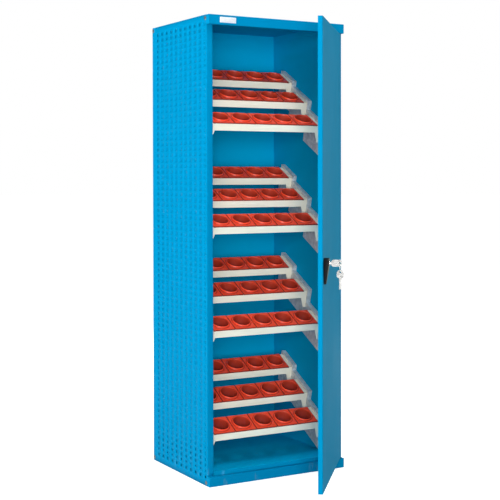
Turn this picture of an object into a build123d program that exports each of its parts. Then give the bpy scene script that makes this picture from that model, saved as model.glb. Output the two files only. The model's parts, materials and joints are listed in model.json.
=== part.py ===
from build123d import *
import os
from math import radians, sin, cos

# Tall steel cabinet for machine tool holders, standing on the floor with its door ajar.
# X runs across the front, Y from front to back and Z up, in millimetres.
# The origin is on the floor, below the middle of the cabinet.
# Inside, four groups of three stepped trays lean towards the user, and each tray
# carries a row of five plastic inserts with a round socket for a tool holder.

# Overall size
width = 670.0
depth = 600.0
height = 2000.0

# Folded steel shell
sheet = 1.5
fold = 2.0                # inside radius of a fold
fascia_height = 42.0
fascia_proud = 23.0       # from the face of the stiles to the front of the fascias
stile_width = 31.0
stile_lip = 18.0
rear_return = 16.0
wall_inset = 35.0         # from the outside of a side to the face of its plain inner wall
cap_flange = 28.0
floor_height = 58.0

# Square perforation of the side panels
hole_side = 10.0
hole_rise = 25.0
hole_run = 50.0
hole_margin = 37.5        # from the panel's lower edge to the first hole
first_column = 17.0       # from the panel's front edge to the first column

# Door
door_thickness = 20.0
door_margin = 14.0        # from the cabinet's side to the door's edge
door_gap = 3.0            # above and below the door
door_return = 20.0
pivot_from_edge = 10.0
open_angle = 52.0         # how far the door stands open
pin_diameter = 8.0
pin_clearance = 0.05      # radial
bush_side = 10.0
bush_length = 10.0
bush_collar = 13.0
bush_gap = 0.5            # between a bush and the sheet in front of it
bush_flange = 1.0
pin_depth = 26.0          # length of a pivot block inside the door
stiffener_width = 90.0
stiffener_depth = 15.0

# Trays
row_length = 525.0        # five inserts side by side
insert_count = 5
insert_gap = 1.0
insert_depth = 110.8      # up the slope
insert_plate = 5.0
insert_body = 35.0        # below the plate
socket_diameter = 75.0
socket_wall = 5.5         # between a socket and the sides of the insert's body
body_gap = 0.5            # between an insert's body and the frame's ledges
tray_tilt = 27.4
riser_lean = 15.0
row_setback = 105.0       # from the cabinet's front to the lowest row's front edge
row_run = (0.0, 126.0, 269.0)
row_rise = (0.0, 111.0, 212.5)
first_row_height = 201.0
group_pitch = 450.0
group_count = 4
tiers = ("front", "middle", "back")
raised_group = 1          # of groups 0 to 3 from below: its upper rows hang one hole higher

# Tray frame
frame_sheet = 1.5
frame_half = 278.5        # half its length, between the brackets
apron_height = 32.0
apron_front = 1.0         # from the inserts' front edge to the apron, up the slope
leg_length = 46.0
leg_top = 28.0
leg_foot = 12.0
rear_apron = 22.0
rear_leg = 20.0
end_plate_height = 18.0
label_lip = 1.5

# Stepped bracket
bracket_sheet = 2.0
bracket_flange = 21.0     # outward from the web
bracket_over = 6.0        # rises above the inserts
bracket_front = 3.0       # stands in front of the inserts
bracket_web = 136.0       # from the inserts' plane to the lower edge, square to it
bracket_rear = 12.0       # past the last insert
standoff_columns = (3, 8)
standoff_height = 74.0
standoff_drop = (28.0, 62.0)   # from a row's front edge down to the upper lug
lug_side = 8.0
lug_reach = 3.0           # behind the inner wall

# Lock and handle, with the door shut
handle_from_edge = 38.0
handle_height = 969.0
hub_radius = 21.0
tail_radius = 8.0
tail_length = 78.0
hub_depth = 22.0
tail_depth = 9.0
handle_gap = 0.5          # between the lever and the door's face
barrel_diameter = 20.0
barrel_proud = 2.0
barrel_depth = 14.0
plug_diameter = 12.0
spindle_side = 8.0
spindle_hole = 14.0
cam_width = 18.0
cam_sheet = 3.0
throw_radius = 14.0       # of the cam's pins, and the travel of the rods
throw_pin = 6.0
pin_gap = 0.4             # from the ends of the cam's pins to the rods
rod_width = 12.0
rod_sheet = 4.0
rod_clearance = 0.2
rod_axis = 13.0           # from the door's face to the middle of the rods
keeper_margin = 2.0       # round a rod in its fascia
guide_height = 18.0
guide_wall = 3.0
guide_from_end = 60.0
guide_from_handle = 150.0

# Keys
key_sheet = 2.2
key_bow_length = 44.0
key_bow_height = 28.0
key_blade = 8.0
key_shank = 4.0           # between the plug and the bow
key_hole = 7.0
key_hole_inset = 7.0
ring_radius = 18.0
ring_section = 2.0
spare_blade_length = 44.0
spare_bow_length = 32.0

# Plate
plate_size = (76.0, 24.0, 1.0)
plate_from_left = 53.0

# Derived places
front = -depth / 2
back = depth / 2
stile_face = front + fascia_proud
inner_half = width / 2 - sheet
wall_face = width / 2 - wall_inset
door_half = width / 2 - door_margin
door_bottom = fascia_height + door_gap
door_top = height - fascia_height - door_gap
door_back = front + door_thickness
pivot = (door_half - pivot_from_edge, front + sheet + bush_gap + bush_side / 2)
insert_pitch = row_length / insert_count
body_half = socket_diameter / 2 + socket_wall
web_inner = frame_half
web_outer = web_inner + bracket_sheet


def block(x, y, z):
    """A box between two corners, each axis given as a low and a high value."""
    size = [high - low for low, high in (x, y, z)]
    return Pos(x[0], y[0], z[0]) * Box(*size, align=Align.MIN)


def plate_yz(points, x):
    """A flat piece with an outline in Y and Z, between two values of X."""
    outline = Plane.YZ.offset(x[0]) * Polygon(*points, align=None)
    return extrude(outline, amount=x[1] - x[0], dir=(1, 0, 0))


def folded_xy(points, z):
    """A folded sheet whose section is a line in X and Y, drawn at mid thickness."""
    section = trace(FilletPolyline(*points, radius=fold + sheet / 2), line_width=sheet)
    return extrude(Pos(0, 0, z[0]) * section, amount=z[1] - z[0], dir=(0, 0, 1))


def rod(radius, length, at, axis):
    """A round bar from a point, along one of the axes."""
    turn = {"x": (0, 90, 0), "y": (-90, 0, 0), "z": (0, 0, 0)}[axis]
    base = (Align.CENTER, Align.CENTER, Align.MIN)
    return Pos(*at) * Rotation(*turn) * Cylinder(radius, length, align=base)


def mirrored(shape):
    return mirror(shape, about=Plane.YZ)


def swung(shape):
    """Moves a piece drawn with the door shut to where it stands with the door ajar."""
    x, y = pivot
    return Pos(x, y, 0) * Rotation(0, 0, open_angle) * Pos(-x, -y, 0) * shape


# Tray geometry in the Y and Z plane

slope = (cos(radians(tray_tilt)), sin(radians(tray_tilt)))
square = (-slope[1], slope[0])
riser = (sin(radians(riser_lean)), -cos(radians(riser_lean)))


def shift(point, direction, distance):
    return (point[0] + direction[0] * distance, point[1] + direction[1] * distance)


def meet(a, along_a, b, along_b):
    """Where two lines in the Y and Z plane cross."""
    cross = along_a[0] * along_b[1] - along_a[1] * along_b[0]
    reach = ((b[0] - a[0]) * along_b[1] - (b[1] - a[1]) * along_b[0]) / cross
    return shift(a, along_a, reach)


def strip(start, along, length, thickness, inward):
    """The outline of a flat sheet seen on edge."""
    end = shift(start, along, length)
    return [start, end, shift(end, inward, thickness), shift(start, inward, thickness)]


def folded_edge(path, thickness):
    """The outline of a sheet bent along a path, lying to the right of it."""
    legs = []
    for start, end in zip(path, path[1:]):
        reach = ((end[0] - start[0]) ** 2 + (end[1] - start[1]) ** 2) ** 0.5
        along = ((end[0] - start[0]) / reach, (end[1] - start[1]) / reach)
        legs.append((shift(start, (along[1], -along[0]), thickness), along))
    inner = [legs[0][0]]
    for before, after in zip(legs, legs[1:]):
        inner.append(meet(*before, *after))
    last, along = legs[-1]
    inner.append(shift(path[-1], (along[1], -along[0]), thickness))
    return path + inner[::-1]


def row_edge(group, row):
    """The front upper edge of a row's inserts, as Y and Z."""
    lift = hole_rise if group == raised_group and row > 0 else 0.0
    y = front + row_setback + row_run[row]
    return y, first_row_height + group * group_pitch + row_rise[row] + lift


def on_tray(group, row, up, over):
    """A point of a tray, up the slope from its front edge and above its inserts."""
    return shift(shift(row_edge(group, row), slope, up), square, over)


def hole_height(target):
    """The height of the perforation row nearest to a wanted height."""
    return hole_margin + hole_rise * round((target - hole_margin) / hole_rise)


def column_depth(column):
    return stile_face + first_column + hole_run * column


def lugs(group):
    """The perforations that a bracket hooks into, as Y and Z."""
    places = []
    for column, row, drop in zip(standoff_columns, (0, 2), standoff_drop):
        top = hole_height(row_edge(group, row)[1] - drop)
        places += [(column_depth(column), top), (column_depth(column), top - 2 * hole_rise)]
    return places


# Shell

def lug_holes(x):
    """The square perforations level with the brackets' lugs, through a range of X."""
    half = hole_side / 2
    places = [place for group in range(group_count) for place in lugs(group)]
    return [block(x, (y - half, y + half), (z - half, z + half)) for y, z in places]


def side_panel():
    """The right side: stile, skin and rear return folded from one sheet."""
    skin = width / 2 - sheet / 2
    section = [(width / 2 - stile_width, stile_face + sheet / 2), (skin, stile_face + sheet / 2),
               (skin, back - sheet / 2), (width / 2 - rear_return, back - sheet / 2)]
    panel = folded_xy(section, (0, height))
    edge = width / 2 - stile_width
    panel += block((edge, edge + sheet), (stile_face, stile_face + stile_lip),
                   (floor_height, height - sheet))
    return panel - lug_holes((inner_half - 1, width / 2 + 1))


def inner_wall():
    """The right inner wall: a shallow tray whose rim turns outward to the perforated side."""
    x = (wall_face, inner_half)
    y = (stile_face + stile_lip, back - 2 * sheet)
    z = (floor_height, height - sheet)
    wall = block(x, y, z)
    beside_fold = wall.edges().filter_by(Axis.Z).group_by(Axis.Y)[-1].sort_by(Axis.X)[-1]
    wall = chamfer(beside_fold, fold)
    wall -= block((x[0] + sheet, x[1] + 1), (y[0] + sheet, y[1] - sheet), (z[0] + sheet, z[1] - sheet))
    return wall - lug_holes((wall_face - 1, wall_face + 2 * sheet))


def pan(top, bottom):
    """A sheet from side to side, with a skirt below it that fits between the inner walls."""
    y = (stile_face + sheet, back - 2 * sheet)
    flat = block((-inner_half, inner_half), y, (top - sheet, top))
    flat = chamfer(flat.edges().filter_by(Axis.Z), fold)
    skirt = block((-wall_face, wall_face), y, (bottom, top))
    return flat + skirt - block((sheet - wall_face, wall_face - sheet), (y[0] + sheet, y[1] - sheet),
                                (bottom - 1, top - sheet))


def back_panel():
    half = inner_half - fold
    return block((-half, half), (back - 2 * sheet, back - sheet), (0, height))


def fascia(low, face):
    """A hollow channel across the front, with a square hole for a bush and a slot for a rod."""
    high = low + fascia_height
    body = block((-width / 2, width / 2), (front, stile_face), (low, high))
    body -= block((sheet - width / 2, width / 2 - sheet), (front + sheet, stile_face + 1),
                  (low + sheet, high - sheet))
    through = (face - 2 * sheet, face + 2 * sheet)
    body -= square_bar(bush_side, through)
    x, y = rod_place()
    wide = rod_width / 2 + keeper_margin
    deep = rod_sheet / 2 + keeper_margin
    return body - block((x - wide, x + wide), (y - deep, y + deep), through)


def square_bar(side, z):
    """A square bar on the door's pivot axis."""
    x, y = pivot
    return block((x - side / 2, x + side / 2), (y - side / 2, y + side / 2), z)


def hinge_bushes():
    """Collared bushes with square bodies, one in each fascia."""
    made = []
    for face, way in ((height - fascia_height, 1), (fascia_height, -1)):
        bush = square_bar(bush_side, sorted((face, face + way * bush_length)))
        bush += square_bar(bush_collar, sorted((face, face - way * bush_flange)))
        bore = pin_diameter / 2 + pin_clearance
        made.append(bush - rod(bore, 4 * bush_length, (*pivot, face - 2 * bush_length), "z"))
    return Compound(made)


def blank_plate():
    wide, tall, thick = plate_size
    left = plate_from_left - width / 2
    low = height - (fascia_height + tall) / 2
    return block((left, left + wide), (front - thick, front), (low, low + tall))


# Trays

def bracket(group):
    """The right bracket of a group: a stepped web with a flange folded outward, and lugs."""
    fronts = [on_tray(group, row, -bracket_front, bracket_over) for row in range(3)]
    fronts.append(on_tray(group, 2, insert_depth + bracket_rear, bracket_over))
    lows = [on_tray(group, row, 0, -bracket_web) for row in range(3)]
    top, bottom = [], []
    for row in range(3):
        top += [fronts[row], meet(fronts[row], slope, fronts[row + 1], riser)]
        bottom += [meet(lows[row], slope, fronts[row], riser),
                   meet(lows[row], slope, fronts[row + 1], riser)]
    body = plate_yz(top + bottom[::-1], (web_inner, web_outer))
    # The flange follows the front edge, the treads and the risers
    flange = folded_edge([bottom[0]] + top, bracket_sheet)
    body += plate_yz(flange, (web_inner, web_outer + bracket_flange - bracket_sheet))
    for y, z in lugs(group)[::2]:
        low = z - 2 * hole_rise - (standoff_height - 2 * hole_rise) / 2
        body += block((web_inner, wall_face), (y - bracket_sheet / 2, y + bracket_sheet / 2),
                      (low, low + standoff_height))
    for y, z in lugs(group):
        body += block((wall_face - sheet, wall_face + sheet + lug_reach),
                      (y - bracket_sheet / 2, y + bracket_sheet / 2), (z - lug_side / 2, z + lug_side / 2))
    return body


def tray_frame(group, row):
    """Folded frame of one row: front apron with two legs, rear apron, ends and lips."""
    across = (-frame_half, frame_half)
    under = -insert_plate
    head = on_tray(group, row, apron_front, under)
    inward = (-riser[1], riser[0])
    down = (-square[0], -square[1])
    body = plate_yz(strip(head, riser, apron_height, frame_sheet, inward), across)
    ledge = insert_depth / 2 - body_half - apron_front - body_gap
    body += plate_yz(strip(head, slope, ledge, frame_sheet, down), across)
    # Lips of the label channel along the apron
    outward = (-inward[0], -inward[1])
    channel = (leg_top - frame_half, frame_half - leg_top)
    for at in (label_lip, apron_height - 2 * label_lip):
        lip = strip(shift(head, riser, at), riser, 2 * label_lip, label_lip, outward)
        body += plate_yz(lip, channel)
    # Tapered legs
    apron = Plane(origin=(0, head[0], head[1]), x_dir=(1, 0, 0), z_dir=(0, -inward[0], -inward[1]))
    low = -apron_height
    foot = low - leg_length
    leg = Polygon((frame_half, low + 2), (frame_half, foot), (frame_half - leg_foot, foot),
                  (frame_half - leg_top, low), (frame_half - leg_top, low + 2), align=None)
    for outline in (leg, mirror(leg, about=Plane.YZ)):
        body += extrude(apron * outline, amount=frame_sheet, dir=(0, inward[0], inward[1]))
    # Rear apron with short legs
    tail = on_tray(group, row, insert_depth - apron_front, under)
    forward = (-slope[0], -slope[1])
    body += plate_yz(strip(tail, down, rear_apron, frame_sheet, forward), across)
    body += plate_yz(strip(tail, forward, ledge, frame_sheet, down), across)
    # Ends: an upright plate and a flange that meets the outer inserts
    foot = meet(on_tray(group, row, 0, under - end_plate_height), slope, head, riser)
    end = [head, tail, on_tray(group, row, insert_depth - apron_front, under - end_plate_height), foot]
    edge = row_length / 2 - insert_pitch / 2 + body_half + body_gap
    cover = strip(head, slope, insert_depth - 2 * apron_front, frame_sheet, down)
    for side in (-1, 1):
        outer = sorted((side * frame_half, side * (frame_half - frame_sheet)))
        body += plate_yz(end, outer)
        body += plate_yz(cover, sorted((side * edge, side * frame_half)))
        leg = strip(shift(tail, down, rear_apron - 1), down, rear_leg, frame_sheet, forward)
        body += plate_yz(leg, sorted((side * frame_half, side * (frame_half - leg_foot))))
    return body


def row_inserts(group, row):
    """The five inserts of a row, each a square plate on a deep body with a round socket."""
    y, z = row_edge(group, row)
    tray = Plane(origin=(0, y, z), x_dir=(1, 0, 0), z_dir=(0, *square))
    half = (insert_pitch - insert_gap) / 2
    middle = insert_depth / 2
    bottom = -insert_plate - insert_body
    one = block((-half, half), (0, insert_depth), (-insert_plate, 0))
    one += block((-body_half, body_half), (middle - body_half, middle + body_half), (bottom, -insert_plate))
    one -= Pos(0, middle, 0) * Cylinder(socket_diameter / 2, 4 * insert_body)
    places = [(place + 0.5) * insert_pitch - row_length / 2 for place in range(insert_count)]
    return [tray * Pos(x, 0, 0) * one for x in places]


def tier_inserts(row):
    """The inserts of one tier: the front, middle or back row of every group."""
    return Compound([one for group in range(group_count) for one in row_inserts(group, row)])


# Door, drawn shut

def rod_place():
    """The axis of the lock's rods with the door shut, as X and Y."""
    return handle_from_edge - door_half, front + rod_axis


def door_panel():
    """A pan folded from one sheet, open at the back inside its returns."""
    x = (-door_half, door_half)
    y = (front, door_back)
    z = (door_bottom, door_top)
    body = block(x, y, z)
    body = fillet(body.edges().filter_by(Axis.Z), fold + 1)
    body -= block((x[0] + sheet, x[1] - sheet), (y[0] + sheet, y[1] - sheet), (z[0] + sheet, z[1] - sheet))
    body -= block((x[0] + door_return, x[1] - door_return), (y[1] - 2 * sheet, y[1] + 1),
                  (z[0] + door_return, z[1] - door_return))
    x, y = rod_place()
    wide = rod_width / 2 + rod_clearance
    deep = rod_sheet / 2 + rod_clearance
    for end in (door_bottom, door_top):
        through = (end - 2 * sheet, end + 2 * sheet)
        body -= block((x - wide, x + wide), (y - deep, y + deep), through)
        body -= square_bar(bush_side, through)
    return body - rod(spindle_hole / 2, 4 * sheet, (x, front - sheet, handle_height), "y")


def door_stiffener():
    """A hat section down the middle of the door, fixed behind its face."""
    near = front + sheet + sheet / 2
    far = near + stiffener_depth - sheet
    half = stiffener_width / 2
    crown = half - 20
    section = [(-half, near), (-crown - sheet, near), (-crown, far),
               (crown, far), (crown + sheet, near), (half, near)]
    return folded_xy(section, (door_bottom + door_return, door_top - door_return))


def hinge_pins():
    """Pivot pins on blocks that fill the door's corners, each with a square shoulder in the door's end."""
    x = (door_half - 2 * pivot_from_edge - 4, door_half - sheet)
    y = (front + sheet, door_back - sheet)
    made = []
    for end, way in ((door_top, 1), (door_bottom, -1)):
        body = block(x, y, sorted((end - way * sheet, end - way * (sheet + pin_depth))))
        body += square_bar(bush_side, sorted((end, end - way * 2 * sheet)))
        tip = end + way * (door_gap + bush_length - 2)
        body += rod(pin_diameter / 2, abs(tip - end) + 1, (*pivot, min(tip, end - way)), "z")
        made.append(body)
    return Compound(made)


def rod_guides():
    """Four guides behind the door's face, two for each rod."""
    x, y = rod_place()
    wide = rod_width / 2 + rod_clearance
    deep = rod_sheet / 2 + rod_clearance
    made = []
    for middle in (door_top - guide_from_end, handle_height + guide_from_handle,
                   handle_height - guide_from_handle, door_bottom + guide_from_end):
        z = (middle - guide_height / 2, middle + guide_height / 2)
        half = wide + guide_wall
        body = block((x - half, x + half), (front + sheet, y + deep + guide_wall / 2), z)
        made.append(body - block((x - wide, x + wide), (y - deep, y + deep), (z[0] - 1, z[1] + 1)))
    return Compound(made)


def lock_rod(way):
    """A flat rod with a cranked end that the cam's pin drives: way 1 is the upper rod, -1 the lower."""
    x, middle = rod_place()
    y = (middle - rod_sheet / 2, middle + rod_sheet / 2)
    end = door_top - 1 if way > 0 else door_bottom + 1
    start = handle_height + way * (throw_radius + throw_pin + 4)
    body = block((x - rod_width / 2, x + rod_width / 2), y, sorted((start, end)))
    inner = throw_radius - throw_pin
    outer = throw_radius + throw_pin
    crank = sorted((start, start + way * rod_width))
    body += block(sorted((x - way * rod_width / 2, x + way * outer)), y, crank)
    tab = sorted((handle_height - way * throw_pin, start + way * 2))
    body += block(sorted((x + way * inner, x + way * outer)), y, tab)
    half = throw_pin / 2 + rod_clearance
    return body - block(sorted((x + way * (inner - 1), x + way * (outer - 2))), (y[0] - 1, y[1] + 1),
                        (handle_height - half, handle_height + half))


def handle_lever():
    """A drop-shaped lever that hangs from its hub, deep at the hub and thin at the tail."""
    x = rod_place()[0]
    rear = front - handle_gap
    drop = Circle(hub_radius) + Pos(0, -tail_length) * Circle(tail_radius)
    outline = make_hull(drop.edges())
    face = Plane(origin=(x, rear, handle_height), x_dir=(1, 0, 0), z_dir=(0, -1, 0))
    body = extrude(face * outline, amount=hub_depth)
    top = handle_height + hub_radius
    tail = handle_height - tail_length - tail_radius
    side = [(rear, top), (rear - hub_depth, top), (rear - hub_depth, handle_height - barrel_diameter / 2),
            (rear - tail_depth, tail), (rear, tail)]
    body = body & plate_yz(side, (x - hub_radius, x + hub_radius))
    body -= rod(barrel_diameter / 2, barrel_depth + 1, (x, rear - hub_depth - 1, handle_height), "y")
    half = spindle_side / 2
    return body - block((x - half, x + half), (rear - hub_depth, rear + 1),
                        (handle_height - half, handle_height + half))


def lock_barrel():
    """The chromed barrel in the handle's hub, with the bore that its plug turns in."""
    rx = rod_place()[0]
    start = plug_face()
    length = barrel_depth + barrel_proud
    body = rod(barrel_diameter / 2, length, (rx, start, handle_height), "y")
    return body - rod(plug_diameter / 2 + pin_clearance, length - 2, (rx, start, handle_height), "y")


def plug_face():
    return front - handle_gap - hub_depth - barrel_proud


def barrel_rear():
    return plug_face() + barrel_proud + barrel_depth


def lock_plug():
    rx = rod_place()[0]
    length = barrel_depth + barrel_proud - 3
    body = rod(plug_diameter / 2, length, (rx, plug_face(), handle_height), "y")
    half = key_sheet / 2
    return body - block((rx - half, rx + half), (plug_face() - 1, plug_face() + length - 2),
                        (handle_height - key_blade / 2, handle_height + key_blade / 2))


def handle_spindle():
    """The square bar from the lever through the door to the cam."""
    rx = rod_place()[0]
    half = spindle_side / 2
    return block((rx - half, rx + half), (barrel_rear() + pin_gap, cam_rear()),
                 (handle_height - half, handle_height + half))


def cam_rear():
    return front + rod_axis - rod_sheet / 2 - 2 * throw_pin / 5


def lock_cam():
    """A flat arm with two pins, which the handle turns to throw the rods."""
    x = rod_place()[0]
    rear = cam_rear()
    reach = throw_radius + throw_pin
    body = block((x - reach, x + reach), (rear - cam_sheet, rear),
                 (handle_height - cam_width / 2, handle_height + cam_width / 2))
    length = front + rod_axis - rod_sheet / 2 - pin_gap - rear
    for side in (-1, 1):
        body += rod(throw_pin / 2, length, (x + side * throw_radius, rear, handle_height), "y")
    half = spindle_side / 2
    return body - block((x - half, x + half), (rear - cam_sheet - 1, rear + 1),
                        (handle_height - half, handle_height + half))


def key_outline(bow_length, blade_length):
    """A key lying along X: round bow to the left of zero, blade to the right."""
    bow = chamfer(Rectangle(bow_length, key_bow_height).vertices(), key_bow_height / 4)
    made = Pos(-bow_length / 2, 0) * bow
    made += Pos(blade_length / 2 - 2, 0) * Rectangle(blade_length + 4, key_blade)
    return made - Pos(key_hole_inset - bow_length, 0) * Circle(key_hole / 2)


def working_key():
    rx = rod_place()[0]
    bow_end = plug_face() - key_shank
    inside = key_shank + barrel_depth + barrel_proud - 5
    side = Plane(origin=(rx - key_sheet / 2, bow_end, handle_height), x_dir=(0, 1, 0), z_dir=(1, 0, 0))
    return extrude(side * key_outline(key_bow_length, inside), amount=key_sheet)


def ring_top():
    """Where the ring passes through the working key, as Y."""
    return plug_face() - key_shank - key_bow_length + key_hole_inset


def key_ring():
    rx = rod_place()[0]
    start = (rx, ring_top() - ring_section / 2, handle_height - ring_radius)
    half = ring_section / 2
    return (rod(ring_radius + half, ring_section, start, "y")
            - rod(ring_radius - half, 3 * ring_section, (start[0], start[1] - ring_section, start[2]), "y"))


def spare_key():
    """A second key that hangs from the ring, with its blade down."""
    rx = rod_place()[0]
    hole = handle_height - 2 * ring_radius
    top = hole + key_hole_inset
    side = Plane(origin=(rx - key_sheet / 2, ring_top(), top - spare_bow_length),
                 x_dir=(0, 0, -1), z_dir=(1, 0, 0))
    return extrude(side * key_outline(spare_bow_length, spare_blade_length), amount=key_sheet)


def build_nodes():
    nodes = {
        "right_side_panel": side_panel(),
        "left_side_panel": mirrored(side_panel()),
        "right_inner_wall": inner_wall(),
        "left_inner_wall": mirrored(inner_wall()),
        "back_panel": back_panel(),
        "top_cap": pan(height, height - cap_flange),
        "base_tray": pan(floor_height, 0),
        "top_fascia": fascia(height - fascia_height, height - fascia_height),
        "base_fascia": fascia(0, fascia_height),
        "hinge_bushes": hinge_bushes(),
        "blank_plate": blank_plate(),
    }
    for group in range(group_count):
        name = f"group_{group + 1}"
        right = bracket(group)
        nodes[f"{name}_bracket_right"] = right
        nodes[f"{name}_bracket_left"] = mirrored(right)
        for row, place in enumerate(tiers):
            nodes[f"{name}_frame_{place}"] = tray_frame(group, row)
    for row, place in enumerate(tiers):
        nodes[f"{place}_inserts"] = tier_inserts(row)
    door = {
        "door_panel": door_panel(),
        "door_stiffener": door_stiffener(),
        "hinge_pins": hinge_pins(),
        "rod_guides": rod_guides(),
        "handle_lever": handle_lever(),
        "handle_spindle": handle_spindle(),
        "lock_barrel": lock_barrel(),
        "lock_cam": lock_cam(),
        "lock_rod_upper": lock_rod(1),
        "lock_rod_lower": lock_rod(-1),
        "lock_plug": lock_plug(),
        "working_key": working_key(),
        "key_ring": key_ring(),
        "spare_key": spare_key(),
    }
    for name, shape in door.items():
        nodes[name] = swung(shape)
    return nodes


os.makedirs("parts", exist_ok=True)
for name, shape in build_nodes().items():
    export_step(shape, f"parts/{name}.step")
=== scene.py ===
# %% [markdown]
# # A steel cabinet with stepped trays
#
# The object is a tall cabinet of folded steel, with perforated sides, one door that stands open, and
# twelve sloping rows of red plastic sockets inside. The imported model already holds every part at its
# real size, so this lesson is about finish. It rounds the folds, punches the perforation, moulds the
# sockets and paints everything. Each step says what the real thing is and how it could be made.

# %% The frame
import json
from math import cos, pi, radians, sin

import bmesh
import bpy
import numpy as np
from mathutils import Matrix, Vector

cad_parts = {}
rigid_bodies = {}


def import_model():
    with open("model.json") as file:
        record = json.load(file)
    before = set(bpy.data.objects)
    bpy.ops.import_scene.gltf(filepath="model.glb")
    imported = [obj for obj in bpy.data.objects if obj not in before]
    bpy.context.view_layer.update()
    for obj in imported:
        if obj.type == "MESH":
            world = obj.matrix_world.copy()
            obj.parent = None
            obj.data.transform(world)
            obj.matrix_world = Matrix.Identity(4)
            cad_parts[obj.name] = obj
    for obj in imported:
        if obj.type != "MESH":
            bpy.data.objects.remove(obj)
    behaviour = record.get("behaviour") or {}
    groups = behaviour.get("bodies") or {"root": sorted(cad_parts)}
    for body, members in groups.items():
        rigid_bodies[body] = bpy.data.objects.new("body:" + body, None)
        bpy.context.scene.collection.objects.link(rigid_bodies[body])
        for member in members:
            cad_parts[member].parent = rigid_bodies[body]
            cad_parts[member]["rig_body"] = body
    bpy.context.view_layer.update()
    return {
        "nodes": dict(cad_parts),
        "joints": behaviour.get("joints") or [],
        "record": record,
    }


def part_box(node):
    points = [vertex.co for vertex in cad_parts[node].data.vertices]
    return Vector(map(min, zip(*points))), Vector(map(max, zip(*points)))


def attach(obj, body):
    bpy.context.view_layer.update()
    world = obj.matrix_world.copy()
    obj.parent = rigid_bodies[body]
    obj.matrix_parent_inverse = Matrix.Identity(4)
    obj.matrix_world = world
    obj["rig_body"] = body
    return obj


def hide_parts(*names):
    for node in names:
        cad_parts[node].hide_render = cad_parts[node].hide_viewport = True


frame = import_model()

nodes = frame["nodes"]
record = frame["record"]
joints = {joint["name"]: joint for joint in frame["joints"]}
mm = 0.001
for plain in list(bpy.data.materials):
    bpy.data.materials.remove(plain)

# %% [markdown]
# ## The camera
#
# The camera stood a little to the left of the cabinet, about five and a half metres away and nearly
# level, so that the tall edges stay upright. The picture is cropped from a wider view, which a lens
# shift gives without tilting anything. The values come from matching the corners of the cabinet and the
# even steps of its perforation.

# %% Camera
camera_place = (-2.5221, -4.8930, 1.3169)
camera_turn = radians(32.169)
camera_tip = radians(1.128)
focal_length = 86.42

lens = bpy.data.cameras.new("camera")
lens.lens = focal_length
lens.sensor_width = 36.0
lens.shift_x = -0.20
lens.shift_y = -0.10
lens.clip_end = 200.0
camera = bpy.data.objects.new("camera", lens)
camera.location = camera_place
camera.rotation_euler = (pi / 2 - camera_tip, 0.0, -camera_turn)
bpy.context.scene.collection.objects.link(camera)
bpy.context.scene.camera = camera
bpy.context.scene.view_settings.view_transform = "Standard"
print("camera turned", round(camera_turn, 3), "tipped", round(camera_tip, 3))

# %% [markdown]
# ## Points, grids and meshes
#
# Nearly every new piece here is a grid of points: rows and columns of a surface, worked out as whole
# arrays. A grid can close on itself along either direction, as a ring does. Faces are never listed by
# hand. They come from the grid's own numbering, where each cell joins four neighbours.

# %% From grids to a mesh
def grid(points, close_rows=False, close_columns=False, keep=None):
    """Points in rows and columns, with one face for each cell.

    A cell joins the points (row, column), (row, column + 1), (row + 1, column + 1) and (row + 1, column).
    Closing a direction adds the cells between its last line and its first. keep is a mask of the cells.
    """
    points = np.asarray(points, float)
    rows, columns = points.shape[:2]
    number = np.arange(rows * columns).reshape(rows, columns)
    if close_rows:
        number = np.vstack([number, number[:1]])
    if close_columns:
        number = np.hstack([number, number[:, :1]])
    faces = np.stack([number[:-1, :-1], number[:-1, 1:], number[1:, 1:], number[1:, :-1]], axis=-1)
    faces = faces.reshape(-1, 4) if keep is None else faces[keep]
    return points.reshape(-1, 3), faces


def joined(*parts):
    """Several (points, faces) pairs as one: each pair's numbers move up by the points before it."""
    counts = [len(points) for points, faces in parts]
    starts = np.cumsum([0] + counts[:-1])
    return (np.vstack([points for points, faces in parts]),
            np.vstack([faces + start for start, (points, faces) in zip(starts, parts)]))


def add_piece(name, part, body, finish, replaces=(), outward=True, smooth=35.0, painted_shade=None):
    """Makes a piece from (points, faces), on a body of the frame and with its finish.

    Points that lie together are merged, which closes seams and poles. outward turns the faces of a
    closed shape to point away from it. Edges that turn by more than smooth degrees stay sharp. The last
    argument is painted shade: a share from 0 to 1 for each point, which a finish reads by name.
    """
    points, faces = part
    mesh = bpy.data.meshes.new(name)
    mesh.from_pydata(points.tolist(), [], faces.tolist())
    # Painted shade: a share for each point, kept as an attribute that a finish reads
    if painted_shade is not None:
        mesh.attributes.new("painted_shade", "FLOAT", "POINT").data.foreach_set("value", painted_shade)
    work = bmesh.new()
    work.from_mesh(mesh)
    bmesh.ops.remove_doubles(work, verts=work.verts, dist=1e-6)
    if outward:
        bmesh.ops.recalc_face_normals(work, faces=work.faces)
    work.to_mesh(mesh)
    work.free()
    mesh.shade_smooth()
    mesh.set_sharp_from_angle(angle=radians(smooth))
    return finished(bpy.data.objects.new(name, mesh), body, finish, replaces)


def finished(piece, body, finish, replaces=()):
    """Puts a new object in the scene, paints it and hands it to its body."""
    piece.data.materials.clear()
    piece.data.materials.append(finish)
    bpy.context.scene.collection.objects.link(piece)
    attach(piece, body)
    if replaces:
        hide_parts(*replaces)
    return piece


def thicken(piece, thickness):
    """Gives a sheet its thickness, inwards from the drawn face."""
    wall = piece.modifiers.new("wall", "SOLIDIFY")
    wall.thickness = thickness
    wall.offset = -1.0
    wall.use_even_offset = True
    return piece


ready = grid(np.zeros((3, 3, 3)))
print("a grid of three by three points has", len(ready[1]), "cells")

# %% [markdown]
# ## Shader maths
#
# A finish is a small network of nodes. Written out, even a simple mask takes many lines, so a class
# wraps one output of a node and lets Python's own signs add the Math nodes. One method adds any other
# node: first its settings, then the values or links of its sockets.

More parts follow.
